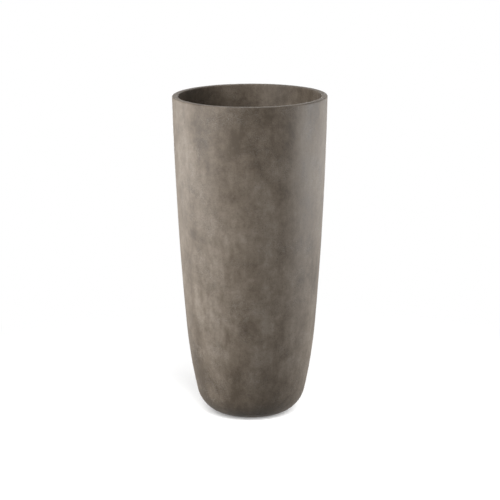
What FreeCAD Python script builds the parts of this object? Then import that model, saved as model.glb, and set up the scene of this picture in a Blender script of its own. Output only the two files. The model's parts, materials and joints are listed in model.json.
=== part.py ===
"""Tall round fibreglass planter, in millimetres, standing on z = 0 with its axis on Z.

The pot is two laminated mouldings: a tall wall with a thick rim, and a heavy base pan whose upstand
is bonded inside the wall's lower end. A drain bush is bonded through the pan's floor and takes a
pull-out rubber plug. Four rubber pads carry the pan. A loose perforated shelf lies on three brackets
that are bonded to the wall, so that only the upper part has to be filled with soil.
"""

import FreeCAD
import Part
import math
import os

from FreeCAD import Vector

# Overall sizes
HEIGHT = 800.0  # floor to rim
RIM_RADIUS = 190.0  # outside radius at the rim
FLAT_RADIUS = 57.6  # radius of the flat underside

# Outline of the outside, from the rim down: two long tangent bows, then the round under the base
UPPER_BOW = 9070.0  # radius of the long, nearly straight bow
LOWER_BOW = 1270.0  # radius of the tighter bow below it
LOWER_BOW_TOP = 237.0  # height where the tighter bow starts
BASE_ROUND_TOP = 63.5  # height where the round under the base starts
LEAN_LIMIT = 20.0  # degrees: the wall at the rim leans inwards or outwards by less than this

# Wall and rim
WALL = 7.0
RIM_WIDTH = 15.0
RIM_BAND_DEPTH = 85.0  # how far the thick rim reaches down inside
RIM_EDGE_ROUND = 2.5

# Base pan
UPSTAND = 4.7  # thickness of the upstand inside the wall
SEAM_HEIGHT = 22.0  # height of the joint line between wall and pan
LAP_TOP = 90.0  # height of the upstand's top
BOND_GAP = 0.3  # thickness of every adhesive film
RECESS_DEPTH = 3.0  # of the round recess under the drain
RECESS_MARGIN = 3.6  # from the recess to the pads

# Foot pads
PAD_COUNT = 4
PAD_RADIUS = 10.0
PAD_THICKNESS = 3.0
PAD_CHAMFER = 0.8
PAD_EDGE_MARGIN = 1.0  # from the pad to the edge of the flat underside

# Drain bush
BORE_TOP = 11.0  # radius at the top of the tapered bore
BORE_TAPER = 1.5  # how much smaller the radius is at the bottom
BUSH_SLEEVE = 2.5  # thickness of the sleeve at the top of the bore
BUSH_FLANGE = 3.0  # thickness
BUSH_FLANGE_LAP = 8.5  # from the sleeve's outside to the flange's edge
BUSH_DROP = 1.0  # how far the sleeve hangs below the pan's floor
BUSH_FIT = 0.15  # radial gap between the sleeve and the floor's hole
BUSH_CHAMFER = 1.0

# Drain plug
PLUG_FIT = 0.3  # radial gap between the plug and the bore
PLUG_TAIL_RAISE = 0.5  # how far the plug's tail stops short of the sleeve's lower end
PLUG_HEAD = 4.0  # thickness of the sealing head
PLUG_HEAD_LAP = 6.0  # from the bore's edge to the head's edge
PLUG_HEAD_SLOPE = 1.3  # how far the head's top falls from the knob's root to its edge
KNOB_RADIUS = 9.0
KNOB_NECK_RADIUS = 5.5
KNOB_HEIGHT = 22.0  # from the top of the head to the top of the knob

# Shelf
SHELF_SEAT = 430.0  # height of the brackets' tops
SHELF_CLEARANCE = 2.0  # from the shelf's edge to the wall, and to the rim that it is lifted through
SHELF_PLATE = 4.0
SHELF_DEPTH = 16.0  # plate and skirt together
SHELF_SKIRT = 3.0
SHELF_EDGE_ROUND = 1.5
RIB_COUNT = 6
RIB_THICKNESS = 3.0
HUB_RING_RADIUS = 62.0
HOLE_RADIUS = 3.0
FIRST_HOLE_RING = 42.0  # radius of the first ring of drain holes
HOLE_RING_PITCH = 36.0
HOLE_LAND = 5.0  # least land between a drain hole and a finger hole or the skirt
FINGER_HOLE_RADIUS = 14.0
FINGER_HOLE_CIRCLE = 90.0  # radius of the circle that the two finger holes lie on

# Shelf brackets
BRACKET_COUNT = 3
BRACKET_WIDTH = 34.0
BRACKET_REACH = 24.0  # from the wall inwards, along the bracket's top
BRACKET_NOSE = 7.0  # height of the bracket's inner end
BRACKET_HEIGHT = 42.0
BRACKET_EDGE_ROUND = 1.5

# Derived places
AXIS = Vector(0, 0, 1)
ORIGIN = Vector(0, 0, 0)
BASE_PLANE = PAD_THICKNESS  # the pan's flat underside
PAN = WALL + BOND_GAP + UPSTAND  # thickness of the pan, flush with the wall outside
PAN_FLOOR_TOP = BASE_PLANE + PAN
PAN_FLOOR_UNDERSIDE = BASE_PLANE + RECESS_DEPTH
PAD_CIRCLE = FLAT_RADIUS - PAD_EDGE_MARGIN - PAD_RADIUS
RECESS_RADIUS = PAD_CIRCLE - PAD_RADIUS - RECESS_MARGIN
BUSH_RADIUS = BORE_TOP + BUSH_SLEEVE
BUSH_TOP = PAN_FLOOR_TOP + BUSH_FLANGE
BUSH_BOTTOM = PAN_FLOOR_UNDERSIDE - BUSH_DROP
SHELF_TOP = SHELF_SEAT + SHELF_DEPTH
RIB_PITCH = 360 / RIB_COUNT  # degrees
FINGER_HOLE_ANGLES = (0.5 * RIB_PITCH, 3.5 * RIB_PITCH)  # midway between two ribs
BEYOND = 1.0  # how far a cutting tool overshoots
SAME = 0.001  # places closer than this are one place


class Bow:
    """One arc of the outline. Its heading is the outline's angle from vertical, in radians."""

    def __init__(self, r, z, heading, radius, end_z):
        self.radius = radius
        self.centre_r = r - radius * math.cos(heading)
        self.centre_z = z + radius * math.sin(heading)
        self.start = heading
        self.end = math.asin(min(1.0, (self.centre_z - end_z) / radius))

    def point(self, heading, inset):
        """The point with that heading on the curve that runs inset inside the outline."""
        reach = self.radius - inset
        r = self.centre_r + reach * math.cos(heading)
        z = self.centre_z - reach * math.sin(heading)
        return Vector(r, 0, z)

    def heading_at(self, z, inset):
        return math.asin((self.centre_z - z) / (self.radius - inset))


def outline_with(lean):
    """The three tangent arcs of the outside for one lean at the rim, from the rim down."""
    upper = Bow(RIM_RADIUS, HEIGHT, lean, UPPER_BOW, LOWER_BOW_TOP)
    joint = upper.point(upper.end, 0)
    lower = Bow(joint.x, joint.z, upper.end, LOWER_BOW, BASE_ROUND_TOP)
    joint = lower.point(lower.end, 0)
    round_radius = (joint.z - BASE_PLANE) / (1 - math.sin(lower.end))
    base_round = Bow(joint.x, joint.z, lower.end, round_radius, BASE_PLANE)
    return [upper, lower, base_round]


def make_outline():
    """The outline whose lean at the rim brings its base round onto the flat underside's edge."""
    high = math.radians(LEAN_LIMIT)
    low = -high
    while high - low > SAME / HEIGHT / HEIGHT:
        lean = (low + high) / 2
        if outline_with(lean)[-1].centre_r > FLAT_RADIUS:
            low = lean
        else:
            high = lean
    return outline_with(lean)


OUTLINE = make_outline()
BASE_ROUND = OUTLINE[-1]
BASE_EDGE = (BASE_ROUND, math.pi / 2)  # the spot where the base round meets the flat underside


def wall_spot(z, inset):
    """The bow, and the heading on it, at height z on the curve inset inside the outline."""
    for bow in OUTLINE[:-1]:
        if z >= bow.point(bow.end, inset).z:
            return bow, bow.heading_at(z, inset)
    return BASE_ROUND, BASE_ROUND.heading_at(z, inset)


def at(spot, inset):
    bow, heading = spot
    return bow.point(heading, inset)


def wall_radius(z, inset):
    return at(wall_spot(z, inset), inset).x


def arcs_down(inset, top, bottom):
    """Arc edges along the inset curve, downwards from one spot to another."""
    edges = []
    first = OUTLINE.index(top[0])
    last = OUTLINE.index(bottom[0])
    for i in range(first, last + 1):
        bow = OUTLINE[i]
        start = top[1] if i == first else bow.start
        end = bottom[1] if i == last else bow.end
        ends = [bow.point(heading, inset) for heading in (start, (start + end) / 2, end)]
        edges.append(Part.Arc(*ends).toShape())
    return edges


def line(a, b):
    return Part.LineSegment(a, b).toShape()


def polyline(corners):
    return [line(a, b) for a, b in zip(corners, corners[1:])]


def turned(edges):
    """The solid of revolution of a closed chain of edges in the XZ plane."""
    wire = Part.Wire(Part.__sortEdges__(edges))
    return Part.Face(wire).revolve(ORIGIN, AXIS, 360)


def cylinder(radius, bottom, top, x=0.0, y=0.0):
    return Part.makeCylinder(radius, top - bottom, Vector(x, y, bottom), AXIS)


def on_circle(radius, degrees):
    angle = math.radians(degrees)
    return radius * math.cos(angle), radius * math.sin(angle)


def edges_at_height(solid, z):
    """The edges that lie wholly at height z."""
    found = []
    for edge in solid.Edges:
        box = edge.BoundBox
        if abs(box.ZMin - z) < SAME and abs(box.ZMax - z) < SAME:
            found.append(edge)
    return found


def make_shell_wall():
    """The tall wall: outline, lower edge cut square to it, inner face, and the thick rim band."""
    band_bottom = HEIGHT - RIM_BAND_DEPTH
    seam = (BASE_ROUND, BASE_ROUND.heading_at(SEAM_HEIGHT, 0))
    rim_outside = wall_spot(HEIGHT, 0)
    rim_inside = wall_spot(HEIGHT, RIM_WIDTH)
    band_end = wall_spot(band_bottom, RIM_WIDTH)
    band_root = wall_spot(band_bottom - (RIM_WIDTH - WALL), WALL)
    edges = arcs_down(0, rim_outside, seam)
    edges.append(line(at(seam, 0), at(seam, WALL)))
    edges += arcs_down(WALL, band_root, seam)
    edges.append(line(at(band_root, WALL), at(band_end, RIM_WIDTH)))
    edges += arcs_down(RIM_WIDTH, rim_inside, band_end)
    edges.append(line(at(rim_inside, RIM_WIDTH), at(rim_outside, 0)))
    wall = turned(edges)
    return wall.makeFillet(RIM_EDGE_ROUND, edges_at_height(wall, HEIGHT))


def make_base_pan():
    """The base: a thick dish with an upstand lapped inside the wall, a recess and the drain hole."""
    lap_inset = WALL + BOND_GAP
    seam = (BASE_ROUND, BASE_ROUND.heading_at(SEAM_HEIGHT, 0) + BOND_GAP / BASE_ROUND.radius)
    lap_outside = wall_spot(LAP_TOP, lap_inset)
    lap_inside = wall_spot(LAP_TOP, PAN)
    axis_bottom = Vector(0, 0, BASE_PLANE)
    axis_top = Vector(0, 0, PAN_FLOOR_TOP)
    edges = arcs_down(0, seam, BASE_EDGE)
    edges += polyline([at(BASE_EDGE, 0), axis_bottom, axis_top, at(BASE_EDGE, PAN)])
    edges += arcs_down(PAN, lap_inside, BASE_EDGE)
    edges.append(line(at(lap_inside, PAN), at(lap_outside, lap_inset)))
    edges += arcs_down(lap_inset, lap_outside, seam)
    edges.append(line(at(seam, lap_inset), at(seam, 0)))
    pan = turned(edges)
    recess = cylinder(RECESS_RADIUS, BASE_PLANE - BEYOND, PAN_FLOOR_UNDERSIDE)
    hole = cylinder(BUSH_RADIUS + BUSH_FIT, BASE_PLANE - BEYOND, PAN_FLOOR_TOP + BEYOND)
    return pan.cut(recess).cut(hole)


def bore_radius(z):
    """Radius of the bush's tapered bore at height z."""
    return BORE_TOP - BORE_TAPER * (BUSH_TOP - z) / (BUSH_TOP - BUSH_BOTTOM)


def make_drain_bush():
    """A flanged sleeve: the flange lies on the pan's floor and the sleeve goes down through it."""
    flange_radius = BUSH_RADIUS + BUSH_FLANGE_LAP
    corners = [
        Vector(bore_radius(BUSH_BOTTOM), 0, BUSH_BOTTOM),
        Vector(BUSH_RADIUS, 0, BUSH_BOTTOM),
        Vector(BUSH_RADIUS, 0, PAN_FLOOR_TOP),
        Vector(flange_radius, 0, PAN_FLOOR_TOP),
        Vector(flange_radius, 0, BUSH_TOP - BUSH_CHAMFER),
        Vector(flange_radius - BUSH_CHAMFER, 0, BUSH_TOP),
        Vector(bore_radius(BUSH_TOP), 0, BUSH_TOP),
    ]
    return turned(polyline(corners + corners[:1]))


def make_drain_plug():
    """A tapered rubber plug: sealing head on the bush's flange, and a waisted, domed pull knob."""
    tail = BUSH_BOTTOM + PLUG_TAIL_RAISE
    head_radius = BORE_TOP + PLUG_HEAD_LAP
    head_top = BUSH_TOP + PLUG_HEAD
    knob_top = head_top + KNOB_HEIGHT
    dome_base = knob_top - KNOB_RADIUS
    axis_tail = Vector(0, 0, tail)
    knob_root = Vector(KNOB_RADIUS, 0, head_top)
    neck = Vector(KNOB_NECK_RADIUS, 0, (head_top + dome_base) / 2)
    knob_side = Vector(KNOB_RADIUS, 0, dome_base)
    dome_x, dome_z = on_circle(KNOB_RADIUS, 45)
    dome_shoulder = Vector(dome_x, 0, dome_base + dome_z)
    dome_top = Vector(0, 0, knob_top)
    corners = [
        dome_top,
        axis_tail,
        Vector(bore_radius(tail) - PLUG_FIT, 0, tail),
        Vector(bore_radius(BUSH_TOP) - PLUG_FIT, 0, BUSH_TOP),
        Vector(head_radius, 0, BUSH_TOP),
        Vector(head_radius, 0, head_top - PLUG_HEAD_SLOPE),
        knob_root,
    ]
    edges = polyline(corners)
    edges.append(Part.Arc(knob_root, neck, knob_side).toShape())
    edges.append(Part.Arc(knob_side, dome_shoulder, dome_top).toShape())
    return turned(edges)


def make_foot_pad(index):
    """One rubber pad, bonded to the flat underside, with its lower edge chamfered."""
    x, y = on_circle(PAD_CIRCLE, (index + 0.5) * 360 / PAD_COUNT)
    pad = cylinder(PAD_RADIUS, 0, PAD_THICKNESS, x, y)
    return pad.makeChamfer(PAD_CHAMFER, edges_at_height(pad, 0))


def make_cavity():
    """The space inside the thin wall, less one adhesive film, to trim what is bonded to it."""
    inset = WALL + BOND_GAP
    top = wall_spot(HEIGHT, inset)
    floor_edge = at(BASE_EDGE, inset)
    axis_bottom = Vector(0, 0, floor_edge.z)
    axis_top = Vector(0, 0, HEIGHT)
    edges = arcs_down(inset, top, BASE_EDGE)
    edges += polyline([floor_edge, axis_bottom, axis_top, at(top, inset)])
    return turned(edges)


def make_shelf_bracket(index, cavity):
    """One corbel: flat on top, sloping underneath, its back following the wall's curve."""
    face = wall_radius(SHELF_SEAT, WALL)
    back = face + WALL  # outside the cavity, so that the whole back is trimmed to the wall
    nose = face - BRACKET_REACH
    foot = SHELF_SEAT - BRACKET_HEIGHT
    side = [
        (back, SHELF_SEAT),
        (nose, SHELF_SEAT),
        (nose, SHELF_SEAT - BRACKET_NOSE),
        (face, foot),
        (back, foot),
    ]
    corners = [Vector(r, -BRACKET_WIDTH / 2, z) for r, z in side]
    outline = Part.makePolygon(corners + corners[:1])
    block = Part.Face(outline).extrude(Vector(0, BRACKET_WIDTH, 0))
    nose_and_slope = []
    for edge in block.Edges:
        box = edge.BoundBox
        if box.YLength < SAME and box.XMax < back - SAME:
            nose_and_slope.append(edge)
    block = block.makeFillet(BRACKET_EDGE_ROUND, nose_and_slope)
    block.rotate(ORIGIN, AXIS, index * 360 / BRACKET_COUNT)
    return block.common(cavity)


def shelf_radius():
    """As large as the wall allows where the shelf lies, and the rim where it is lifted out."""
    beside = wall_radius(SHELF_SEAT, WALL)
    rim_top = wall_radius(HEIGHT, RIM_WIDTH)
    rim_bottom = wall_radius(HEIGHT - RIM_BAND_DEPTH, RIM_WIDTH)
    return min(beside, rim_top, rim_bottom) - SHELF_CLEARANCE


def drain_hole_places(outer_limit):
    """Centres of the drain holes: rings whose holes lie between the ribs, clear of finger holes."""
    fingers = [on_circle(FINGER_HOLE_CIRCLE, angle) for angle in FINGER_HOLE_ANGLES]
    least = FINGER_HOLE_RADIUS + HOLE_RADIUS + HOLE_LAND
    places = []
    radius = FIRST_HOLE_RING
    count = RIB_COUNT
    while radius <= outer_limit:
        for i in range(count):
            x, y = on_circle(radius, (i + 0.5) * 360 / count)
            if all(math.hypot(x - finger_x, y - finger_y) > least for finger_x, finger_y in fingers):
                places.append((x, y))
        radius += HOLE_RING_PITCH
        count += RIB_COUNT
    return places


def make_planting_shelf():
    """The loose shelf: plate, skirt, hub ring and ribs in one moulding, drilled for drainage."""
    radius = shelf_radius()
    under = SHELF_TOP - SHELF_PLATE
    shelf = cylinder(radius, SHELF_SEAT, SHELF_TOP)
    shelf = shelf.makeFillet(SHELF_EDGE_ROUND, edges_at_height(shelf, SHELF_TOP))
    shelf = shelf.cut(cylinder(radius - SHELF_SKIRT, SHELF_SEAT - BEYOND, under))
    hub = cylinder(HUB_RING_RADIUS, SHELF_SEAT, under + BEYOND)
    hub = hub.cut(cylinder(HUB_RING_RADIUS - SHELF_SKIRT, SHELF_SEAT - BEYOND, SHELF_TOP + BEYOND))
    stiffeners = [hub]
    for i in range(RIB_COUNT):
        length = radius - HUB_RING_RADIUS
        start = Vector(HUB_RING_RADIUS - SHELF_SKIRT / 2, -RIB_THICKNESS / 2, SHELF_SEAT)
        rib = Part.makeBox(length, RIB_THICKNESS, under + BEYOND - SHELF_SEAT, start)
        rib.rotate(ORIGIN, AXIS, i * RIB_PITCH)
        stiffeners.append(rib)
    shelf = shelf.fuse(stiffeners).removeSplitter()
    holes = []
    for x, y in drain_hole_places(radius - SHELF_SKIRT - HOLE_LAND - HOLE_RADIUS):
        holes.append(cylinder(HOLE_RADIUS, under - BEYOND, SHELF_TOP + BEYOND, x, y))
    for angle in FINGER_HOLE_ANGLES:
        x, y = on_circle(FINGER_HOLE_CIRCLE, angle)
        holes.append(cylinder(FINGER_HOLE_RADIUS, under - BEYOND, SHELF_TOP + BEYOND, x, y))
    return shelf.cut(Part.makeCompound(holes))


def export(name, shape):
    """Writes one node, which has to be a single valid solid."""
    solids = shape.Solids
    assert len(solids) == 1 and solids[0].isValid(), name
    solids[0].exportStep(os.path.join("parts", name + ".step"))
    box = solids[0].BoundBox
    print(f"{name}: {solids[0].Volume / 1000:.1f} cm3, z {box.ZMin:.2f} to {box.ZMax:.2f}")


def main():
    os.makedirs("parts", exist_ok=True)
    export("shell_wall", make_shell_wall())
    export("base_pan", make_base_pan())
    export("drain_bush", make_drain_bush())
    export("drain_plug", make_drain_plug())
    export("planting_shelf", make_planting_shelf())
    cavity = make_cavity()
    for i in range(BRACKET_COUNT):
        export(f"shelf_bracket_{i + 1}", make_shelf_bracket(i, cavity))
    for i in range(PAD_COUNT):
        export(f"foot_pad_{i + 1}", make_foot_pad(i))
    lean = math.degrees(OUTLINE[0].start)
    print(f"lean at the rim {lean:.3f} degrees, base round radius {BASE_ROUND.radius:.2f}")
    print(f"shelf radius {shelf_radius():.2f}, recess radius {RECESS_RADIUS:.2f}")


main()
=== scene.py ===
"""Looks of the tall round fibreglass planter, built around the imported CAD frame.

Lengths of the planter's pieces are in millimetres, as on a drawing, and become metres when a mesh is
made. The camera, the lamps and the material patterns are in metres.
"""

import json
import math
import random

import bmesh
import bpy
from mathutils import Euler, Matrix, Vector, noise

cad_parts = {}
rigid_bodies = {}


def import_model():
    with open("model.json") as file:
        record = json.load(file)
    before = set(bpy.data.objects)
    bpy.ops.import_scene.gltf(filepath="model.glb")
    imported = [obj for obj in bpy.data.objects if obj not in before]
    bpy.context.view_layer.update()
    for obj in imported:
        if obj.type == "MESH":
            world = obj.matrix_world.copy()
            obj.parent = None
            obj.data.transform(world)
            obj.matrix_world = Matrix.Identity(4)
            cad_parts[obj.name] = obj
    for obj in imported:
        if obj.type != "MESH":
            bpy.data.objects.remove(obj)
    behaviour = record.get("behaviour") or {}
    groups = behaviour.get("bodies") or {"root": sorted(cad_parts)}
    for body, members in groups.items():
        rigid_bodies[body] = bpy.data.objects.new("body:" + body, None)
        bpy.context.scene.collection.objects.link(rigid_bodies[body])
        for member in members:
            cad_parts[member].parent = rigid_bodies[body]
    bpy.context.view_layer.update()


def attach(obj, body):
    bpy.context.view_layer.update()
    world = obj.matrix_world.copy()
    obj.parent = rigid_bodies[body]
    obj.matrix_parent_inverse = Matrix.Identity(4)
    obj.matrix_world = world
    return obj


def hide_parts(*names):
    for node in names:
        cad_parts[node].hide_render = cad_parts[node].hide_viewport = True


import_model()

MM = 0.001

# Outside outline, as the CAD has it
HEIGHT = 800.0
RIM_RADIUS = 190.0
BASE_PLANE = 3.0
UPPER_BOW = 9070.0
LOWER_BOW = 1270.0
LOWER_BOW_TOP = 237.0
BASE_ROUND_TOP = 63.5
RIM_LEAN = math.radians(1.2573)  # of the wall at the rim

# Wall, rim and base pan
WALL = 7.0
RIM_WIDTH = 15.0
RIM_BAND_DEPTH = 85.0
RIM_EDGE_ROUND = 2.5
BAND_EDGE_ROUND = 3.0
BOND_GAP = 0.3
PAN = 12.0
PAN_FLOOR_TOP = 15.0
SEAM_HEIGHT = 22.0
SEAM_ROUND = 0.9
LAP_TOP = 90.0
PASTE_RISE = 6.0  # how far the fillet of bonding paste climbs the wall above the pan
RECESS_RADIUS = 33.0
RECESS_TOP = 6.0
DRAIN_HOLE_RADIUS = 13.65
DENT_COUNT = 46
CHIP_COUNT = 12  # on each edge of the rim

# Drain bush and plug
BORE_TOP = 11.0
BORE_BOTTOM = 9.5
BUSH_RADIUS = 13.5
BUSH_FLANGE_RADIUS = 22.0
BUSH_TOP = 18.0
BUSH_BOTTOM = 5.0
PLUG_FIT = 0.3
PLUG_TAIL = 5.5
PLUG_GROOVES = 4
PLUG_GROOVE_DEPTH = 0.35
PLUG_HEAD_RADIUS = 17.0
PLUG_HEAD_EDGE = 20.7
PLUG_HEAD_TOP = 22.0
KNOB_RADIUS = 9.0
KNOB_NECK_RADIUS = 5.5
KNOB_TOP = 44.0

# Shelf
SHELF_RADIUS = 165.3
SHELF_SEAT = 430.0
SHELF_TOP = 446.0
SHELF_PLATE = 4.0
SHELF_SKIRT = 3.0
SHELF_EDGE_ROUND = 1.5
RIB_COUNT = 6
RIB_THICKNESS = 3.0
HUB_RING_RADIUS = 62.0
HOLE_RADIUS = 3.0
FIRST_HOLE_RING = 42.0
HOLE_RING_PITCH = 36.0
HOLE_RING_COUNT = 4
HOLE_LAND = 5.0
FINGER_HOLE_RADIUS = 14.0
FINGER_HOLE_CIRCLE = 90.0
FINGER_HOLE_ANGLES = (30.0, 210.0)
GROOVE_WIDTH = 4.0
GROOVE_DEPTH = 0.8

# Brackets and pads
BRACKET_COUNT = 3
BRACKET_WIDTH = 34.0
BRACKET_REACH = 24.0
BRACKET_NOSE = 7.0
BRACKET_HEIGHT = 42.0
PASTE_RADIUS = 3.4  # of the bead of bonding paste round a bracket
SKIN_CELL = 0.9  # of the grid on which block and bead become one skin
PAD_COUNT = 4
PAD_RADIUS = 10.0
PAD_THICKNESS = 3.0
PAD_CIRCLE = 46.6

BODY_SEGMENTS = 320
SMALL_SEGMENTS = 96
SHARP_ANGLE = math.radians(38)
BAKE_MAP = "OFBake"
RANDOM_SEED = 7868


# ------------------------------------------------------------------ outline

class Bow:
    """One arc of the outline. Its heading is the outline's angle from vertical, in radians."""

    def __init__(self, r, z, heading, radius, end_z):
        self.radius = radius
        self.centre_r = r - radius * math.cos(heading)
        self.centre_z = z + radius * math.sin(heading)
        self.end = math.asin(min(1.0, (self.centre_z - end_z) / radius))

    def point(self, heading, inset):
        reach = self.radius - inset
        return self.centre_r + reach * math.cos(heading), self.centre_z - reach * math.sin(heading)

    def heading_at(self, z, inset):
        return math.asin(min(1.0, (self.centre_z - z) / (self.radius - inset)))


def make_outline():
    """The outside's three tangent arcs, from the rim down."""
    upper = Bow(RIM_RADIUS, HEIGHT, RIM_LEAN, UPPER_BOW, LOWER_BOW_TOP)
    r, z = upper.point(upper.end, 0)
    lower = Bow(r, z, upper.end, LOWER_BOW, BASE_ROUND_TOP)
    r, z = lower.point(lower.end, 0)
    round_radius = (z - BASE_PLANE) / (1 - math.sin(lower.end))
    return [upper, lower, Bow(r, z, lower.end, round_radius, BASE_PLANE)]


OUTLINE = make_outline()
BASE_ROUND = OUTLINE[-1]
SEAM_HEADING = BASE_ROUND.heading_at(SEAM_HEIGHT, 0)


def wall_radius(z, inset):
    """Radius at height z of the curve that runs inset inside the outline."""
    for bow in OUTLINE[:-1]:
        if z >= bow.point(bow.end, inset)[1]:
            return bow.point(bow.heading_at(z, inset), inset)[0]
    return BASE_ROUND.point(BASE_ROUND.heading_at(z, inset), inset)[0]


def wall_points(start_z, end_z, inset, step):
    """Points along the inset curve from one height to another, about step apart in height."""
    count = max(1, round(abs(end_z - start_z) / step))
    heights = [start_z + (end_z - start_z) * i / count for i in range(count + 1)]
    return [(wall_radius(z, inset), z) for z in heights]


def base_points(start, end, inset, count):
    """Points at equal angles along the round under the base, between two headings."""
    return [BASE_ROUND.point(start + (end - start) * i / count, inset) for i in range(count + 1)]


def line_points(a, b, count):
    steps = [i / count for i in range(count + 1)]
    return [(a[0] + (b[0] - a[0]) * t, a[1] + (b[1] - a[1]) * t) for t in steps]


def rounded_corner(before, corner, after, radius, count=4):
    """The arc that rounds one corner of a chain of points."""
    here = Vector(corner)
    back = (Vector(before) - here).normalized()
    ahead = (Vector(after) - here).normalized()
    half = back.angle(ahead) / 2
    centre = here + (back + ahead).normalized() * radius / math.sin(half)
    start = here + back * radius / math.tan(half) - centre
    end = here + ahead * radius / math.tan(half) - centre
    return [tuple(centre + start.lerp(end, i / count).normalized() * radius) for i in range(count + 1)]


def rounded_chain(corners, radii, count=4):
    """A closed chain of corners, each rounded to its own radius, or sharp where that is 0."""
    points = []
    for i, corner in enumerate(corners):
        after = corners[(i + 1) % len(corners)]
        if radii[i]:
            points += rounded_corner(corners[i - 1], corner, after, radii[i], count)
        else:
            points.append(corner)
    return points


def arc_through(a, b, c, count):
    """Points on the circle arc from a through b to c."""
    ax, az, bx, bz, cx, cz = *a, *b, *c
    d = 2 * (ax * (bz - cz) + bx * (cz - az) + cx * (az - bz))
    squares = [p[0] ** 2 + p[1] ** 2 for p in (a, b, c)]
    x = (squares[0] * (bz - cz) + squares[1] * (cz - az) + squares[2] * (az - bz)) / d
    z = (squares[0] * (cx - bx) + squares[1] * (ax - cx) + squares[2] * (bx - ax)) / d
    centre = Vector((x, z))
    arms = [Vector(p) - centre for p in (a, b, c)]
    turn = arms[1].angle_signed(arms[0]) + arms[2].angle_signed(arms[1])
    start = math.atan2(arms[0].y, arms[0].x)
    radius = arms[0].length
    angles = [start + turn * i / count for i in range(count + 1)]
    return [(x + radius * math.cos(angle), z + radius * math.sin(angle)) for angle in angles]


# ------------------------------------------------------------------ meshes

class Profile:
    """A closed chain of (r, z) points to be turned about the axis, each with the zone it begins."""

    def __init__(self):
        self.points = []
        self.zones = []

    def add(self, points, zone):
        for point in points:
            if not self.points or math.dist(point, self.points[-1]) > 0.01:
                self.points.append(point)
                self.zones.append(zone)

    def sense(self):
        """1 where the chain runs anticlockwise, with r to the right and z up, and -1 where clockwise."""
        pairs = zip(self.points, self.points[1:] + self.points[:1])
        return math.copysign(1.0, sum(a[0] * b[1] - b[0] * a[1] for a, b in pairs))

    def outward(self, index):
        """The direction away from the material at one point."""
        before = Vector(self.points[index - 1])
        after = Vector(self.points[(index + 1) % len(self.points)])
        along = (after - before).normalized() * self.sense()
        return Vector((along.y, -along.x))


def link(name, mesh):
    piece = bpy.data.objects.new(name, mesh)
    bpy.context.scene.collection.objects.link(piece)
    return piece


def mesh_piece(name, vertices, faces):
    mesh = bpy.data.meshes.new(name)
    mesh.from_pydata([tuple(MM * c for c in v) for v in vertices], [], faces)
    return link(name, mesh)


def tidy(piece, sharp=SHARP_ANGLE):
    """Faces outwards, smooth shading, and sharp edges only at real corners."""
    work = bmesh.new()
    work.from_mesh(piece.data)
    bmesh.ops.recalc_face_normals(work, faces=work.faces)
    work.to_mesh(piece.data)
    work.free()
    piece.data.shade_smooth()
    piece.data.set_sharp_from_angle(angle=sharp)
    return piece


def turned(name, profile, segments=SMALL_SEGMENTS, centre=(0.0, 0.0), relief=None):
    """The solid of revolution of a profile. relief(point, zone) gives how far a point stands proud.

    A point on the axis becomes one vertex. The UV map runs round the axis and along the profile.
    """
    vertices = []
    rings = []
    for index, (r, z) in enumerate(profile.points):
        first = len(vertices)
        if r < 1e-6:
            rings.append([first] * segments)
            vertices.append((centre[0], centre[1], z))
            continue
        rings.append(list(range(first, first + segments)))
        outward = profile.outward(index)
        for k in range(segments):
            angle = 2 * math.pi * k / segments
            ray = Vector((math.cos(angle), math.sin(angle)))
            proud = relief(Vector((r * ray.x, r * ray.y, z)), profile.zones[index]) if relief else 0.0
            reach = r + outward.x * proud
            vertices.append((centre[0] + reach * ray.x, centre[1] + reach * ray.y, z + outward.y * proud))
    lengths = [0.0]
    for index in range(len(rings)):
        after = profile.points[(index + 1) % len(rings)]
        lengths.append(lengths[-1] + math.dist(profile.points[index], after))
    faces = []
    corners_uv = []
    zones = []
    for index, ring in enumerate(rings):
        following = rings[(index + 1) % len(rings)]
        low, high = lengths[index] / lengths[-1], lengths[index + 1] / lengths[-1]
        if ring[0] == ring[-1] and following[0] == following[-1]:
            continue
        for k in range(segments):
            after = (k + 1) % segments
            u, next_u = k / segments, (k + 1) / segments
            quad = [(ring[k], u, low), (ring[after], next_u, low), (following[after], next_u, high),
                    (following[k], u, high)]
            corners = [c for i, c in enumerate(quad) if c[0] != quad[i - 1][0]]
            faces.append([c[0] for c in corners])
            corners_uv += [(c[1], c[2]) for c in corners]
            zones.append(profile.zones[index])
    piece = mesh_piece(name, vertices, faces)
    uv_map = piece.data.uv_layers.new(name=BAKE_MAP)
    for corner, uv in zip(uv_map.data, corners_uv):
        corner.uv = uv
    return tidy(piece), zones


def use_materials(piece, materials, zones=None, order=()):
    """Gives a piece its materials. zones has each face's zone, and order the zones' names."""
    piece.data.materials.clear()
    for material in materials:
        piece.data.materials.append(material)
    indices = [order.index(zone) for zone in zones] if zones else [0] * len(piece.data.polygons)
    piece.data.polygons.foreach_set("material_index", indices)


def apply_modifier(piece, modifier):
    bpy.context.view_layer.objects.active = piece
    with bpy.context.temp_override(object=piece, active_object=piece, selected_objects=[piece]):
        bpy.ops.object.modifier_apply(modifier=modifier.name)


def place(piece, body, node, slot):
    """The piece rides on a body and stands for a CAD node, which it hides. The slot argument is not used."""
    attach(piece, body)
    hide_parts(node)


def on_circle(radius, degrees):
    angle = math.radians(degrees)
    return radius * math.cos(angle), radius * math.sin(angle)


# ------------------------------------------------------------------ pot wall and base pan

def hand_laid(point, swell, ripple):
    """Slow and quicker waves of a surface rolled out by hand, from -1 to 1 times each size."""
    slow = noise.noise(Vector((point.x, point.y, point.z * 0.6)) / 95)
    quick = noise.noise(point / 31 + Vector((7.0, 3.0, 1.0)))
    return swell * slow + ripple * quick


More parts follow.
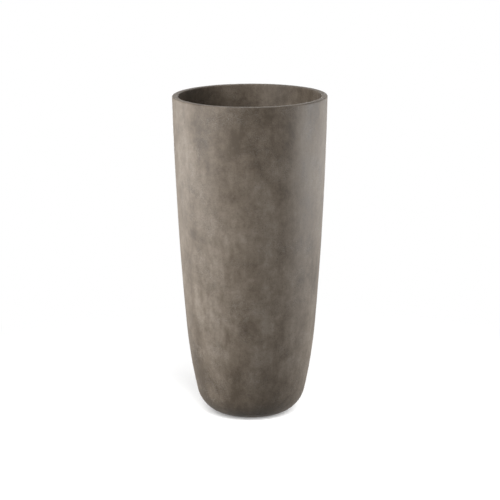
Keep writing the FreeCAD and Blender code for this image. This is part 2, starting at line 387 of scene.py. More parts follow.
def make_dents():
    """Centres, sizes and depths of a few shallow dents on the outside of the wall."""
    dents = []
    for _ in range(DENT_COUNT):
        z = draw.uniform(40, 780)
        x, y = on_circle(wall_radius(z, 0), draw.uniform(0, 360))
        dents.append((Vector((x, y, z)), draw.uniform(5, 11), draw.uniform(0.12, 0.4)))
    return dents


def make_chips():
    """Centres, sizes and depths of small chips along both edges of the rim."""
    chips = []
    for radius in (RIM_RADIUS, RIM_RADIUS - RIM_WIDTH):
        for _ in range(CHIP_COUNT):
            x, y = on_circle(radius, draw.uniform(0, 360))
            chips.append((Vector((x, y, HEIGHT)), draw.uniform(3.5, 6.5), draw.uniform(0.2, 0.7)))
    return chips


def hollow(point, spots):
    """How deep a point lies in the nearest of some round hollows."""
    deepest = 0.0
    for centre, size, depth in spots:
        if abs(point.z - centre.z) > size:
            continue
        share = (point - centre).length / size
        if share < 1:
            deepest = max(deepest, depth * (1 - share * share) ** 2)
    return deepest


def wall_relief(point, zone):
    if zone == "finish":
        skin = min(0.0, hand_laid(point, 0.35, 0.15) - 0.15)
        return skin - hollow(point, dents) - hollow(point, chips)
    if zone == "raw":
        return hand_laid(point, 0.5, 0.35)
    return 0.0


def pan_relief(point, zone):
    if zone == "finish":
        fade = min(1.0, max(0.0, (point.z - BASE_PLANE) / 10))
        return fade * min(0.0, hand_laid(point, 0.35, 0.15) - 0.15)
    if zone == "raw":
        return hand_laid(point, 0.3, 0.3)
    if zone == "paste":
        return 0.9 * noise.noise(point / 9) + 0.5 * noise.noise(point / 4)
    return 0.0


def make_wall():
    """Outside from the seam up, over the rim, down the thick band and the thin wall to the lip."""
    seam = BASE_ROUND.point(SEAM_HEADING, 0)
    lip = BASE_ROUND.point(SEAM_HEADING, WALL)
    band_bottom = HEIGHT - RIM_BAND_DEPTH
    band_end = (wall_radius(band_bottom, RIM_WIDTH), band_bottom)
    root_z = band_bottom - (RIM_WIDTH - WALL)
    band_root = (wall_radius(root_z, WALL), root_z)
    rim_outside = (RIM_RADIUS, HEIGHT)
    rim_inside = (wall_radius(HEIGHT, RIM_WIDTH), HEIGHT)
    above_seam = wall_points(SEAM_HEIGHT + 2, HEIGHT - 6, 0, 4.6)
    band = wall_points(HEIGHT - 6, band_bottom + 6, RIM_WIDTH, 5)
    below_band = wall_points(root_z - 6, LAP_TOP + 12, WALL, 9)
    lap = wall_points(LAP_TOP + 4, lip[1] + 2, WALL, 12)
    profile = Profile()
    profile.add(rounded_corner(lip, seam, above_seam[0], SEAM_ROUND), "finish")
    profile.add(above_seam, "finish")
    profile.add(rounded_corner(above_seam[-1], rim_outside, rim_inside, RIM_EDGE_ROUND, 5), "finish")
    top = rounded_corner(rim_outside, rim_inside, band[0], RIM_EDGE_ROUND, 5)
    profile.add(line_points(profile.points[-1], top[0], 5), "finish")
    profile.add(top, "finish")
    profile.add(band, "finish")
    profile.add(rounded_corner(band[-1], band_end, band_root, BAND_EDGE_ROUND), "finish")
    profile.add(rounded_corner(band_end, band_root, below_band[0], BAND_EDGE_ROUND), "raw")
    profile.add(below_band, "raw")
    profile.add(lap, "hidden")
    profile.add([lip], "hidden")
    piece, zones = turned("wall_laminate", profile, BODY_SEGMENTS, relief=wall_relief)
    slots = ["raw" if zone == "hidden" else zone for zone in zones]
    use_materials(piece, [concrete, raw_laminate], slots, ["finish", "raw"])
    place(piece, "pot", "shell_wall", "laminate")


def make_pan():
    """Outside from the seam down and under, the drain hole, the floor, the upstand and its paste."""
    down = math.pi / 2
    seam_heading = SEAM_HEADING + BOND_GAP / BASE_ROUND.radius
    seam = BASE_ROUND.point(seam_heading, 0)
    lap_start = BASE_ROUND.point(seam_heading, WALL + BOND_GAP)
    outside = base_points(seam_heading + 0.025, down, 0, 24)
    flat_edge = outside[-1]
    recess = [(RECESS_RADIUS, BASE_PLANE), (RECESS_RADIUS, RECESS_TOP)]
    hole = [(DRAIN_HOLE_RADIUS, RECESS_TOP), (DRAIN_HOLE_RADIUS, PAN_FLOOR_TOP)]
    floor_edge = BASE_ROUND.point(down, PAN)
    inside = base_points(down, BASE_ROUND.heading_at(LAP_TOP / 2, PAN), PAN, 16)
    upstand = wall_points(LAP_TOP / 2, LAP_TOP, PAN, 5)
    paste_top = LAP_TOP + PASTE_RISE
    crown = (wall_radius(paste_top, WALL) - BOND_GAP / 2, paste_top)
    sag = (wall_radius(LAP_TOP, PAN) + 2.6, LAP_TOP + 2.2)
    lap_top = (wall_radius(LAP_TOP, WALL + BOND_GAP), LAP_TOP)
    profile = Profile()
    profile.add(rounded_corner(lap_start, seam, outside[0], SEAM_ROUND), "finish")
    profile.add(outside, "finish")
    profile.add(line_points(flat_edge, (RECESS_RADIUS + 0.5, BASE_PLANE), 6), "under")
    profile.add(rounded_corner(flat_edge, recess[0], recess[1], 0.5), "under")
    profile.add(line_points((RECESS_RADIUS, RECESS_TOP), (DRAIN_HOLE_RADIUS, RECESS_TOP), 5), "under")
    profile.add(hole, "hidden")
    profile.add(line_points(hole[-1], floor_edge, 10), "raw")
    profile.add(inside, "raw")
    profile.add(upstand, "raw")
    profile.add(arc_through(upstand[-1], sag, crown, 6), "paste")
    profile.add([lap_top], "hidden")
    profile.add(wall_points(LAP_TOP, lap_start[1] + 3, WALL + BOND_GAP, 12), "hidden")
    profile.add([lap_start], "hidden")
    piece, zones = turned("base_laminate", profile, BODY_SEGMENTS, relief=pan_relief)
    slots = {"finish": "finish", "under": "raw", "hidden": "raw", "raw": "raw", "paste": "paste"}
    order = ["finish", "raw", "paste"]
    use_materials(piece, [concrete, raw_laminate, paste], [slots[zone] for zone in zones], order)
    place(piece, "pot", "base_pan", "laminate")


# ------------------------------------------------------------------ drain bush and plug

def make_bush():
    corners = [
        (BORE_BOTTOM, BUSH_BOTTOM),
        (BUSH_RADIUS, BUSH_BOTTOM),
        (BUSH_RADIUS, PAN_FLOOR_TOP),
        (BUSH_FLANGE_RADIUS, PAN_FLOOR_TOP),
        (BUSH_FLANGE_RADIUS, BUSH_TOP),
        (BORE_TOP, BUSH_TOP),
    ]
    profile = Profile()
    profile.add(rounded_chain(corners, [0.3, 0.5, 0, 0.4, 1.2, 0.5]), "bush")
    piece, _ = turned("bush_moulding", profile)
    use_materials(piece, [bush_plastic])
    place(piece, "pot", "drain_bush", "bush_plastic")


def make_plug():
    """Tail with three sealing rings, sealing head, and a waisted, domed knob with grip rings."""
    bore_slope = (BORE_TOP - BORE_BOTTOM) / (BUSH_TOP - BUSH_BOTTOM)
    tail_radius = BORE_BOTTOM + bore_slope * (PLUG_TAIL - BUSH_BOTTOM) - PLUG_FIT
    head_underside = (PLUG_HEAD_RADIUS, BUSH_TOP)
    head_rim = (PLUG_HEAD_RADIUS, PLUG_HEAD_EDGE)
    knob_root = (KNOB_RADIUS, PLUG_HEAD_TOP)
    dome_base = KNOB_TOP - KNOB_RADIUS
    neck = (KNOB_NECK_RADIUS, (PLUG_HEAD_TOP + dome_base) / 2)
    tail_corner = (tail_radius, PLUG_TAIL)
    profile = Profile()
    profile.add([(0.0, PLUG_TAIL)], "plug")
    profile.add(rounded_corner((0.0, PLUG_TAIL), tail_corner, (BORE_TOP, BUSH_TOP), 0.8), "plug")
    steps = 35
    for i in range(steps + 1):
        z = PLUG_TAIL + 1 + (BUSH_TOP - PLUG_TAIL - 1.5) * i / steps
        groove = PLUG_GROOVE_DEPTH * (0.5 - 0.5 * math.cos(2 * math.pi * PLUG_GROOVES * i / steps))
        profile.add([(tail_radius + bore_slope * (z - PLUG_TAIL) - groove, z)], "plug")
    seat = (BORE_TOP - PLUG_FIT, BUSH_TOP)
    profile.add([seat], "plug")
    profile.add(rounded_corner(seat, head_underside, head_rim, 0.3), "plug")
    profile.add(rounded_corner(head_underside, head_rim, knob_root, 0.8), "plug")
    profile.add(arc_through(knob_root, neck, (KNOB_RADIUS, dome_base), 20), "plug")
    for i in range(1, 16):
        x, z = on_circle(KNOB_RADIUS, 90 * i / 16)
        ridge = 0.2 * (1 - math.cos(2 * math.pi * i / 4)) if i < 9 else 0.0
        profile.add([(x - ridge, dome_base + z)], "plug")
    profile.add([(0.0, KNOB_TOP)], "plug")
    piece, _ = turned("plug_moulding", profile)
    use_materials(piece, [rubber])
    place(piece, "plug", "drain_plug", "rubber")


# ------------------------------------------------------------------ shelf

def drain_hole_places():
    """Rings of drain holes between the ribs, clear of the finger holes."""
    fingers = [on_circle(FINGER_HOLE_CIRCLE, angle) for angle in FINGER_HOLE_ANGLES]
    least = FINGER_HOLE_RADIUS + HOLE_RADIUS + HOLE_LAND
    places = []
    for ring in range(HOLE_RING_COUNT):
        count = RIB_COUNT * (ring + 1)
        for i in range(count):
            x, y = on_circle(FIRST_HOLE_RING + ring * HOLE_RING_PITCH, (i + 0.5) * 360 / count)
            if all(math.hypot(x - finger_x, y - finger_y) > least for finger_x, finger_y in fingers):
                places.append((x, y))
    return places


def hole_cutter(x, y, radius, flare, segments):
    """Vertices and faces of a straight cutter whose ends flare where they leave the plate."""
    under = SHELF_TOP - SHELF_PLATE
    levels = [
        (radius + flare + 1, under - 1),
        (radius + flare, under),
        (radius, under + flare),
        (radius, SHELF_TOP - flare),
        (radius + flare, SHELF_TOP),
        (radius + flare + 1, SHELF_TOP + 1),
    ]
    vertices = []
    for r, z in levels:
        for k in range(segments):
            angle = 2 * math.pi * (k + 0.5) / segments
            vertices.append((x + r * math.cos(angle), y + r * math.sin(angle), z))
    top = (len(levels) - 1) * segments
    faces = [list(range(segments))[::-1], list(range(top, top + segments))]
    for level in range(len(levels) - 1):
        for k in range(segments):
            a, b = level * segments + k, level * segments + (k + 1) % segments
            faces.append([a, b, b + segments, a + segments])
    return vertices, faces


def joined_cutters(name, cutters):
    vertices, faces = [], []
    for cutter_vertices, cutter_faces in cutters:
        start = len(vertices)
        vertices += cutter_vertices
        faces += [[start + i for i in face] for face in cutter_faces]
    return tidy(mesh_piece(name, vertices, faces))


def rib_block(angle):
    """One rib under the plate, from inside the hub ring's wall to inside the skirt's."""
    start, end = HUB_RING_RADIUS - SHELF_SKIRT / 2, SHELF_RADIUS - SHELF_SKIRT / 2
    low, high = SHELF_SEAT + 0.2, SHELF_TOP - SHELF_PLATE / 2
    ray = Vector(on_circle(1.0, angle))
    side = Vector((-ray.y, ray.x)) * RIB_THICKNESS / 2
    corners = [ray * start - side, ray * end - side, ray * end + side, ray * start + side]
    vertices = [(c.x, c.y, z) for z in (low, high) for c in corners]
    faces = [[3, 2, 1, 0], [4, 5, 6, 7], [0, 1, 5, 4], [1, 2, 6, 5], [2, 3, 7, 6], [3, 0, 4, 7]]
    return vertices, faces


def boolean(piece, tool, operation):
    modifier = piece.modifiers.new("cut", "BOOLEAN")
    modifier.operation = operation
    modifier.object = tool
    modifier.solver = "MANIFOLD"
    apply_modifier(piece, modifier)
    bpy.data.objects.remove(tool)


def make_shelf():
    """Plate with drainage grooves, skirt, hub ring and ribs, then its drain and finger holes."""
    under = SHELF_TOP - SHELF_PLATE
    inner = SHELF_RADIUS - SHELF_SKIRT
    hub_inner = HUB_RING_RADIUS - SHELF_SKIRT
    corners = [
        (SHELF_RADIUS, SHELF_TOP),
        (SHELF_RADIUS, SHELF_SEAT),
        (inner, SHELF_SEAT),
        (inner, under),
        (HUB_RING_RADIUS, under),
        (HUB_RING_RADIUS, SHELF_SEAT),
        (hub_inner, SHELF_SEAT),
        (hub_inner, under),
        (0.0, under),
    ]
    radii = [SHELF_EDGE_ROUND, 0.5, 0.5, 1.0, 1.0, 0.5, 0.5, 1.0, 0]
    chain = rounded_chain(corners + [(0.0, SHELF_TOP)], radii + [0])
    for ring in range(HOLE_RING_COUNT):
        middle = FIRST_HOLE_RING + ring * HOLE_RING_PITCH
        for i in range(7):
            across = GROOVE_WIDTH * (i / 6 - 0.5)
            depth = GROOVE_DEPTH * math.cos(math.pi * across / GROOVE_WIDTH)
            chain.append((middle + across, SHELF_TOP - depth))
    profile = Profile()
    profile.add(chain, "shelf")
    piece, _ = turned("shelf_moulding", profile, BODY_SEGMENTS // 2)
    ribs = joined_cutters("ribs", [rib_block(i * 360 / RIB_COUNT) for i in range(RIB_COUNT)])
    boolean(piece, ribs, "UNION")
    holes = [hole_cutter(x, y, HOLE_RADIUS, 0.7, 24) for x, y in drain_hole_places()]
    for angle in FINGER_HOLE_ANGLES:
        holes.append(hole_cutter(*on_circle(FINGER_HOLE_CIRCLE, angle), FINGER_HOLE_RADIUS, 1.2, 64))
    boolean(piece, joined_cutters("holes", holes), "DIFFERENCE")
    tidy(piece, math.radians(30))
    use_materials(piece, [shelf_plastic])
    place(piece, "shelf", "planting_shelf", "shelf_plastic")


# ------------------------------------------------------------------ brackets and pads

def bracket_section(y):
    """The bracket's upright section y to one side of its middle, as (x, z) corners."""
    face = wall_radius(SHELF_SEAT, WALL)
    nose = face - BRACKET_REACH
    foot = SHELF_SEAT - BRACKET_HEIGHT

    def back(z):
        return math.sqrt(wall_radius(z, WALL) ** 2 - y * y) + 0.5

    chain = [(nose, SHELF_SEAT), (back(SHELF_SEAT), SHELF_SEAT)]
    chain += [(back(z), z) for z in (SHELF_SEAT - 14, SHELF_SEAT - 28, foot)]
    chain += [(face - 1.5, foot + 1), (nose, SHELF_SEAT - BRACKET_NOSE)]
    return chain


def paste_route():
    """Where the bead of paste runs on the wall: down one side, under the foot and up the other."""
    half = BRACKET_WIDTH / 2 + 0.5
    foot = SHELF_SEAT - BRACKET_HEIGHT + 2.5
    top = SHELF_SEAT - PASTE_RADIUS - 1
    sides = [(half, z) for z in (top, top - 10, top - 20, foot + 6)]
    under = [(half - 4, foot), (0.0, foot - 1), (4 - half, foot)]
    return sides + under + [(-y, z) for y, z in reversed(sides)]


def paste_balls():
    """Centres and radii of the balls that make the bead, close together and slightly uneven."""
    balls = []
    route = [Vector(p) for p in paste_route()]
    for a, b in zip(route, route[1:]):
        count = max(2, round((b - a).length / 1.2))
        for i in range(count):
            y, z = a.lerp(b, i / count)
            x = math.sqrt(wall_radius(z, WALL) ** 2 - y * y)
            balls.append((Vector((x, y, z)), PASTE_RADIUS * (1 + 0.2 * noise.noise(Vector((y, z, 0.5)) / 5))))
    return balls


def add_ball(work, centre, radius):
    made = bmesh.ops.create_icosphere(work, subdivisions=2, radius=radius)
    bmesh.ops.translate(work, vec=centre, verts=made["verts"])


def make_bracket(index):
    """One corbel of laminate in its bead of paste: block and bead melted into one skin."""
    stations = [BRACKET_WIDTH * (i / 8 - 0.5) for i in range(9)]
    sections = [bracket_section(y) for y in stations]
    corner_count = len(sections[0])
    work = bmesh.new()
    rings = [[work.verts.new((x, y, z)) for x, z in section] for y, section in zip(stations, sections)]
    for ring, following in zip(rings, rings[1:]):
        for k in range(corner_count):
            after = (k + 1) % corner_count
            work.faces.new((ring[k], ring[after], following[after], following[k]))
    work.faces.new(rings[0][::-1])
    work.faces.new(rings[-1])
    for centre, radius in paste_balls():
        add_ball(work, centre, radius)
    bmesh.ops.recalc_face_normals(work, faces=work.faces)
    bmesh.ops.scale(work, vec=(MM, MM, MM), verts=work.verts)
    mesh = bpy.data.meshes.new("bracket")
    work.to_mesh(mesh)
    work.free()
    piece = link(f"bracket_laminate_{index + 1}", mesh)
    remesh = piece.modifiers.new("skin", "REMESH")
    remesh.mode = "VOXEL"
    remesh.voxel_size = SKIN_CELL * MM
    apply_modifier(piece, remesh)
    relax = piece.modifiers.new("relax", "SMOOTH")
    relax.iterations = 5
    apply_modifier(piece, relax)
    turn = Euler((0, 0, 2 * math.pi * index / BRACKET_COUNT)).to_matrix()
    offset = Vector((0, 0, 40.0 * index))
    for vertex in piece.data.vertices:
        point = vertex.co / MM + offset
        if vertex.co.z < (SHELF_SEAT - 0.6) * MM:
            lump = 0.35 * noise.noise(point / 7) + 0.18 * noise.noise(point / 2.4)
            vertex.co += vertex.normal * lump * MM
        vertex.co.z = min(vertex.co.z, SHELF_SEAT * MM)
        vertex.co = turn @ vertex.co
    piece.data.shade_smooth()
    use_materials(piece, [bracket_laminate])
    place(piece, "pot", f"shelf_bracket_{index + 1}", "bracket_laminate")


def make_pad(index):
    """One rubber pad with a ring groove and a dimple moulded into its sole."""
    corners = [
        (0.0, PAD_THICKNESS),
        (0.0, 0.5),
        (2.5, 0.5),
        (3.2, 0.0),
        (5.6, 0.0),
        (6.1, 0.6),
        (7.0, 0.6),
        (7.5, 0.0),
        (PAD_RADIUS, 0.0),
        (PAD_RADIUS, PAD_THICKNESS),
    ]
    profile = Profile()
    profile.add(rounded_chain(corners, [0, 0, 0.2, 0.2, 0.15, 0.15, 0.15, 0.15, 0.8, 0.3]), "pad")
    centre = on_circle(PAD_CIRCLE, (index + 0.5) * 360 / PAD_COUNT)
    piece, _ = turned(f"pad_rubber_{index + 1}", profile, 64, centre)
    use_materials(piece, [rubber])
    place(piece, "pot", f"foot_pad_{index + 1}", "rubber")


# ------------------------------------------------------------------ materials

class Finish:
    """A node material under construction: its shader, and short calls that add patterns to it."""

    def __init__(self, name, **sockets):
        self.material = bpy.data.materials.new(name)
        self.material.use_nodes = True
        self.nodes = self.material.node_tree.nodes
        self.links = self.material.node_tree.links
        self.shader = self.nodes["Principled BSDF"]
        self.object_place = self.node("ShaderNodeTexCoord").outputs["Object"]
        for name, value in sockets.items():
            self.shader.inputs[name.replace("_", " ").title().replace("Ior", "IOR")].default_value = value

    def node(self, kind, values=None, **settings):
        """Adds a node. values maps its sockets to numbers, or to sockets that feed them."""
        node = self.nodes.new(kind)
        for name, value in settings.items():
            setattr(node, name, value)
        for name, value in (values or {}).items():
            if isinstance(value, bpy.types.NodeSocket):
                self.links.new(value, node.inputs[name])
            else:
                node.inputs[name].default_value = value
        return node

    def place(self, stretch=(1, 1, 1), turn=(0, 0, 0)):
        """Object coordinates, first stretched along their axes and then turned."""
        values = {"Vector": self.object_place, "Scale": stretch, "Rotation": turn}
        return self.node("ShaderNodeMapping", values).outputs["Vector"]

    def cloud(self, scale, detail=3.0, roughness=0.55, place=None, distortion=0.0):
        """Soft noise around 0.5, with blotches about 1 / scale metres across."""
        values = {"Vector": place or self.object_place, "Scale": scale, "Detail": detail,
                  "Roughness": roughness, "Distortion": distortion}
        return self.node("ShaderNodeTexNoise", values).outputs[0]

    def dots(self, scale):
        """Distance to the nearest of many scattered points, in units of 1 / scale metres."""
        values = {"Vector": self.object_place, "Scale": scale}
        return self.node("ShaderNodeTexVoronoi", values).outputs["Distance"]

    def math(self, operation, a, b=0.0, c=0.0):
        return self.node("ShaderNodeMath", {0: a, 1: b, 2: c}, operation=operation).outputs[0]

    def spread(self, value, low, high, to_low=0.0, to_high=1.0):
        values = {"Value": value, "From Min": low, "From Max": high, "To Min": to_low, "To Max": to_high}
        return self.node("ShaderNodeMapRange", values).outputs["Result"]

    def tone(self, terms, middle=0.5):
        """Middle plus each pattern's departure from 0.5 times its weight."""
        total = None
        for pattern, weight in terms:
            start = middle - weight / 2 if total is None else self.math("ADD", total, -weight / 2)
            total = self.math("MULTIPLY_ADD", pattern, weight, start)
        return total

    def ramp(self, value, stops):
        node = self.node("ShaderNodeValToRGB", {"Fac": value})
        elements = node.color_ramp.elements
        while len(elements) < len(stops):
            elements.new(0.5)
        for element, (position, colour) in zip(elements, stops):
            element.position = position
            element.color = (*colour, 1.0)
        return node.outputs["Color"]

    def tint(self, share, base, over):
        """Base with another colour mixed in by share."""
        node = self.node("ShaderNodeMix", {0: share}, data_type="RGBA")
        for index, value in ((6, base), (7, over)):
            if isinstance(value, bpy.types.NodeSocket):
                self.links.new(value, node.inputs[index])
            else:
                node.inputs[index].default_value = (*value, 1.0)
        return node.outputs[2]

    def bump(self, height, distance, strength):
        values = {"Height": height, "Distance": distance, "Strength": strength}
        return self.node("ShaderNodeBump", values).outputs["Normal"]

    def finish(self, colour, roughness, normal):
        for name, value in (("Base Color", colour), ("Roughness", roughness), ("Normal", normal)):
            self.links.new(value, self.shader.inputs[name])
        return self.material


PALE_FLECK = (0.40, 0.372, 0.340)
# Near-black painted shade for the inside of pinholes
PINHOLE_PAINTED_SHADE = (0.070, 0.053, 0.038)

# Two heights in metres between which painted shade darkens the finish, and by how much its tone has sunk at
# each
RIM_PAINTED_SHADE = (0.60, 0.79, 0.0, 0.14)
FOOT_PAINTED_SHADE = (0.22, 0.04, 0.0, 0.18)
RIM_FACE_PAINTED_SHADE = (0.7965, 0.7995, 0.0, 0.12)


def make_concrete():
    """Weathered cast-concrete look, darkened with painted shade towards the rim, the foot and on the rim's
    face.

    Upright blotches and streaks, mottling and grain, with clusters of pale specks and hairlines and a
    few pinholes darkened with painted shade.
    """
    f = Finish("weathered_concrete", specular_ior_level=0.5)
    drifts = f.cloud(9.0, 2.0, 0.5, f.place((1.0, 1.0, 0.35)), 0.4)
    patches = f.cloud(24.0, 2.0, 0.6, f.place((1.0, 1.0, 0.75)), 0.3)
    mottle = f.cloud(62.0, 5.0, 0.8)
    streaks = f.cloud(1.0, 3.0, 0.6, f.place((95.0, 95.0, 13.0)))
    grain = f.cloud(330.0, 3.0, 0.7)
    rise = f.node("ShaderNodeSeparateXYZ", {"Vector": f.object_place}).outputs["Z"]
    # painted shade: the tone sinks towards the rim and the foot and on the rim's face, standing in for light
    # falling off there
    painted_shade = f.math("MAXIMUM", f.spread(rise, *RIM_PAINTED_SHADE), f.spread(rise, *FOOT_PAINTED_SHADE))
    face_painted_shade = f.spread(rise, *RIM_FACE_PAINTED_SHADE)
    tone = f.tone([(drifts, 1.05), (patches, 1.0), (mottle, 0.88), (streaks, 0.35), (grain, 0.43)])
    tone = f.math("SUBTRACT", f.math("SUBTRACT", tone, painted_shade), face_painted_shade)
    colour = f.ramp(tone, [
        (0.10, (0.095, 0.072, 0.050)),
        (0.40, (0.168, 0.133, 0.099)),
        (0.60, (0.216, 0.176, 0.136)),
        (0.90, (0.300, 0.255, 0.208)),
    ])
    clusters = f.spread(f.cloud(14.0, 2.0), 0.45, 0.62)
    specks = f.spread(f.dots(390.0), 0.10, 0.38, 1.0, 0.0)
    speck_share = f.math("MULTIPLY", f.math("MULTIPLY", specks, clusters), 0.42)
    colour = f.tint(speck_share, colour, PALE_FLECK)
    contour = f.math("ABSOLUTE", f.math("SUBTRACT", f.cloud(42.0, 3.0, 0.6, distortion=0.8), 0.5))
    hairs = f.math("MULTIPLY", f.spread(contour, 0.004, 0.016, 1.0, 0.0), clusters)
    colour = f.tint(f.math("MULTIPLY", hairs, 0.22), colour, PALE_FLECK)
    sparse = f.spread(f.cloud(60.0, 1.0), 0.52, 0.60)
    pits = f.math("MULTIPLY", f.spread(f.dots(200.0), 0.10, 0.28, 1.0, 0.0), sparse)
    # painted shade: pinholes are tinted near black for the shade inside them
    colour = f.tint(f.math("MULTIPLY", pits, 0.6), colour, PINHOLE_PAINTED_SHADE)
    roughness = f.tone([(patches, 0.16), (mottle, 0.14), (grain, 0.10)], 0.56)
    height = f.tone([(mottle, 0.55), (grain, 0.35)], 0.5)
    height = f.math("SUBTRACT", height, f.math("MULTIPLY", pits, 0.7))
    return f.finish(colour, roughness, f.bump(height, 0.0006, 0.6))


# A turn for each layer of strands. It picks another slice of the noise, and the strands stay along X.
STRAND_TURNS = [
    (0.0, 0.0, 0.3),
    (0.0, 0.0, 1.5),
    (0.0, 0.0, 2.6),
    (0.0, 0.8, 0.0),
    (0.0, 2.2, 1.1),
    (0.0, 1.1, 2.0),
    (0.0, 1.9, 2.7),
]


def make_raw_laminate(name, dark, light):
    """Resin over strands: layers of short pale fibre bundles, all along X."""
    f = Finish(name, specular_ior_level=0.5)
    bundles = None
    for turn in STRAND_TURNS:
        strand = f.cloud(1.0, 1.0, 0.4, f.place((45.0, 400.0, 400.0), turn))
        thread = f.spread(strand, 0.60, 0.69)
        bundles = thread if bundles is None else f.math("MAXIMUM", bundles, thread)
    wet = f.cloud(11.0, 3.0, 0.6)
    fine = f.cloud(260.0, 3.0, 0.6)
    base = f.ramp(f.tone([(wet, 0.9), (fine, 0.3)]), [(0.25, dark), (0.75, light)])
    pale = tuple(min(1.0, 1.55 * c) for c in light)
    colour = f.tint(f.math("MULTIPLY", bundles, 0.38), base, pale)
    roughness = f.tone([(wet, 0.35), (fine, 0.15)], 0.52)
    height = f.math("MULTIPLY_ADD", bundles, 0.6, f.math("MULTIPLY", fine, 0.5))
    return f.finish(colour, roughness, f.bump(height, 0.0009, 0.8))


def make_paste():
    """Grey bonding paste, dragged with a spatula."""
    f = Finish("bonding_paste", specular_ior_level=0.45)
    drag = f.cloud(120.0, 3.0, 0.6, f.place((1.0, 1.0, 3.0)))
    lumps = f.cloud(40.0, 3.0, 0.6)
    tone = f.tone([(drag, 0.5), (lumps, 0.6)])
    colour = f.ramp(tone, [(0.3, (0.13, 0.125, 0.115)), (0.75, (0.22, 0.21, 0.195))])
    return f.finish(colour, f.tone([(lumps, 0.2)], 0.6), f.bump(drag, 0.0008, 0.6))


def make_moulded_plastic(name, dark, light, roughness):
    """Moulded plastic: faint flow marks, a fine spark-eroded grain and dusty scuffs."""
    f = Finish(name, specular_ior_level=0.5)
    flow = f.cloud(18.0, 3.0, 0.6, f.place((1.0, 1.6, 1.0)), 1.2)
    grain = f.cloud(900.0, 2.0, 0.5)
    dust = f.spread(f.cloud(35.0, 5.0, 0.7), 0.50, 0.72)
    base = f.ramp(f.tone([(flow, 0.8), (grain, 0.25)]), [(0.3, dark), (0.7, light)])
    dusty = tuple(0.6 * c + 0.06 for c in light)
    colour = f.tint(f.math("MULTIPLY", dust, 0.45), base, dusty)
    shine = f.math("MULTIPLY_ADD", dust, 0.22, f.tone([(grain, 0.18), (flow, 0.10)], roughness))
    return f.finish(colour, shine, f.bump(grain, 0.00025, 0.5))


def make_rubber():
    """Black rubber with a faint bloom and a fine grain."""
    f = Finish("moulded_rubber", specular_ior_level=0.4)
    bloom = f.spread(f.cloud(90.0, 4.0, 0.65), 0.42, 0.70)
    grain = f.cloud(1400.0, 2.0, 0.5)
    colour = f.tint(f.math("MULTIPLY", bloom, 0.5), (0.016, 0.016, 0.016), (0.045, 0.044, 0.042))
    roughness = f.math("MULTIPLY_ADD", bloom, 0.15, f.tone([(grain, 0.15)], 0.62))
    return f.finish(colour, roughness, f.bump(grain, 0.00015, 0.5))


# ------------------------------------------------------------------ stage, lamps and camera

FLOOR_SIZE = 30.0
FLOOR_BOUNCE = 0.02  # what share of light the floor gives back to the planter
FLOOR_IN_GLOSS = 0.6  # and how bright it shows in gloss
FLOOR_SEEN = 0.85  # its white round the planter, where it shows the shadow
FLOOR_GLOW = 0.15  # and what is added there to clear that white of unevenness
SHADOW_REACH = 0.45  # metres from the axis, within which the floor shows the shadow
CLEAR_REACH = 1.1  # and beyond which it is plain white
AMBIENT = 0.05


def seen_directly(nodes, links):
    """1 for rays from the camera and for those that show the background in gloss or glass."""
    path = nodes.new("ShaderNodeLightPath")
    share = path.outputs["Is Camera Ray"]
    for name in ("Is Glossy Ray", "Is Transmission Ray"):
        either = nodes.new("ShaderNodeMath")
        either.operation = "MAXIMUM"
        links.new(share, either.inputs[0])
        links.new(path.outputs[name], either.inputs[1])
        share = either.outputs[0]
    return share


def make_floor():
    bpy.ops.mesh.primitive_plane_add(size=FLOOR_SIZE)
    floor = bpy.context.object
    floor.name = "floor"
    material = bpy.data.materials.new("white_floor")
    material.use_nodes = True
    nodes, links = material.node_tree.nodes, material.node_tree.links
    nodes.remove(nodes["Principled BSDF"])

    def diffuse(level):
        node = nodes.new("ShaderNodeBsdfDiffuse")
        node.inputs["Color"].default_value = (level, level, level, 1)
        return node.outputs[0]

    def emission(level):
        node = nodes.new("ShaderNodeEmission")
        node.inputs["Strength"].default_value = level
        return node.outputs[0]

    def mixed(share, a, b):
        node = nodes.new("ShaderNodeMixShader")
        for index, socket in enumerate((share, a, b)):
            links.new(socket, node.inputs[index])
        return node.outputs[0]

    near = nodes.new("ShaderNodeAddShader")
    links.new(diffuse(FLOOR_SEEN), near.inputs[0])
    links.new(emission(FLOOR_GLOW), near.inputs[1])
    place_on_floor = nodes.new("ShaderNodeTexCoord").outputs["Object"]
    distance = nodes.new("ShaderNodeVectorMath")
    distance.operation = "LENGTH"
    links.new(place_on_floor, distance.inputs[0])
    away = nodes.new("ShaderNodeMapRange")
    away.interpolation_type = "SMOOTHSTEP"
    away.inputs["From Min"].default_value = SHADOW_REACH
    away.inputs["From Max"].default_value = CLEAR_REACH
    links.new(distance.outputs["Value"], away.inputs["Value"])
    shown = mixed(away.outputs["Result"], near.outputs[0], emission(1.0))
    to_camera = nodes.new("ShaderNodeLightPath").outputs["Is Camera Ray"]
    direct = mixed(to_camera, emission(FLOOR_IN_GLOSS), shown)
    surface = mixed(seen_directly(nodes, links), diffuse(FLOOR_BOUNCE), direct)
    links.new(surface, nodes["Material Output"].inputs["Surface"])
    floor.data.materials.append(material)
    return floor


def make_world():
    """White behind everything the camera sees, and a dim even light for the rest."""
    world = bpy.data.worlds.new("studio")
    bpy.context.scene.world = world
    world.use_nodes = True
    nodes, links = world.node_tree.nodes, world.node_tree.links
    background = nodes["Background"]
    background.inputs["Color"].default_value = (1, 1, 1, 1)
    level = nodes.new("ShaderNodeMapRange")
    level.inputs["To Min"].default_value = AMBIENT
    level.inputs["To Max"].default_value = 1.0
    links.new(seen_directly(nodes, links), level.inputs["Value"])
    links.new(level.outputs["Result"], background.inputs["Strength"])


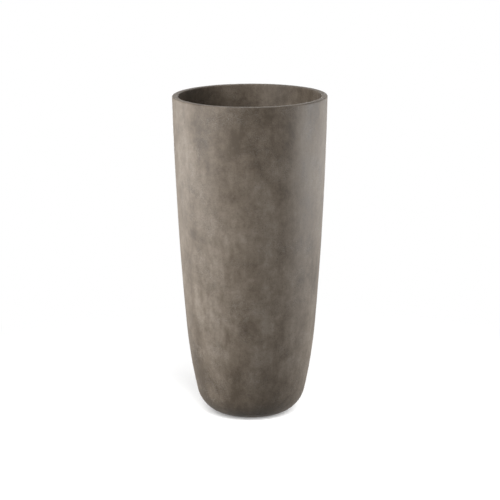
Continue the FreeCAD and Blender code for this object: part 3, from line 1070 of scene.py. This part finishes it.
# Name, azimuth in degrees, distance, height, width and depth in metres, power in watts
PLANTER_SOFTBOXES = [
    ("softbox_front_left", 226, 3.0, 1.90, 1.6, 1.4, 73.0),
    ("softbox_left", 200, 1.4, 0.42, 0.6, 0.6, 7.8),
    ("softbox_left_back", 160, 1.4, 0.42, 0.6, 0.6, 5.6),
    ("softbox_right", 0, 1.4, 0.42, 0.6, 0.6, 12.5),
    ("softbox_right_back", 40, 1.4, 0.42, 0.6, 0.6, 3.0),
    ("softbox_back", 90, 2.4, 0.50, 1.4, 0.8, 26.0),
    ("softbox_above", 270, 0.3, 2.60, 1.2, 1.2, 8.0),
]
PLANTER_AIM = (0.0, 0.0, 0.45)
FLOOR_SOFTBOX = ("softbox_floor", 275, 2.1, 1.75, 5.0, 3.0, 424.0)
FLOOR_AIM = (0.0, 0.0, 0.0)


def make_softbox(setting, aim, receivers):
    """One rectangular lamp that lights only the objects of the receivers collection."""
    name, azimuth, distance, height, width, depth, power = setting
    lamp = bpy.data.lights.new(name, "AREA")
    lamp.shape = "RECTANGLE"
    lamp.size = width
    lamp.size_y = depth
    lamp.energy = power
    box = bpy.data.objects.new(name, lamp)
    bpy.context.scene.collection.objects.link(box)
    box.location = (*on_circle(distance, azimuth), height)
    box.rotation_euler = (Vector(aim) - box.location).to_track_quat("-Z", "Y").to_euler()
    box.visible_camera = False
    box.light_linking.receiver_collection = receivers


def make_lamps(floor):
    """Soft light round the planter, and a separate lamp for the floor that keeps its shadow tight."""
    planter = bpy.data.collections.new("lit_as_planter")
    for piece in bpy.context.scene.objects:
        if piece.type == "MESH" and piece != floor:
            planter.objects.link(piece)
    for setting in PLANTER_SOFTBOXES:
        make_softbox(setting, PLANTER_AIM, planter)
    ground = bpy.data.collections.new("lit_as_floor")
    ground.objects.link(floor)
    make_softbox(FLOOR_SOFTBOX, FLOOR_AIM, ground)


CAMERA_PLACE = (0.0, -6.006, 1.747)
CAMERA_PITCH = math.radians(12.52)  # downwards
CAMERA_ROLL = -0.0047
CAMERA_LENS = 179.2
CAMERA_SHIFT = -0.00104


def make_camera():
    data = bpy.data.cameras.new("camera")
    data.sensor_width = 36.0
    data.lens = CAMERA_LENS
    data.shift_x = CAMERA_SHIFT
    data.clip_end = 60.0
    camera = bpy.data.objects.new("camera", data)
    bpy.context.scene.collection.objects.link(camera)
    camera.location = CAMERA_PLACE
    look = Euler((math.pi / 2 - CAMERA_PITCH, 0, 0)).to_matrix()
    roll = Euler((0, 0, CAMERA_ROLL)).to_matrix()
    camera.rotation_euler = (look @ roll).to_euler()
    bpy.context.scene.camera = camera


# ------------------------------------------------------------------ everything

draw = random.Random(RANDOM_SEED)
dents = make_dents()
chips = make_chips()

concrete = make_concrete()
raw_laminate = make_raw_laminate("raw_laminate", (0.130, 0.116, 0.094), (0.230, 0.208, 0.172))
bracket_laminate = make_raw_laminate("bracket_laminate", (0.120, 0.102, 0.078), (0.215, 0.187, 0.147))
paste = make_paste()
shelf_plastic = make_moulded_plastic("shelf_plastic", (0.018, 0.019, 0.020), (0.030, 0.031, 0.032), 0.55)
bush_plastic = make_moulded_plastic("bush_plastic", (0.075, 0.079, 0.083), (0.105, 0.110, 0.116), 0.38)
rubber = make_rubber()

make_wall()
make_pan()
make_bush()
make_plug()
make_shelf()
for number in range(BRACKET_COUNT):
    make_bracket(number)
for number in range(PAD_COUNT):
    make_pad(number)

make_world()
make_lamps(make_floor())
make_camera()
bpy.context.scene.view_settings.view_transform = "Standard"
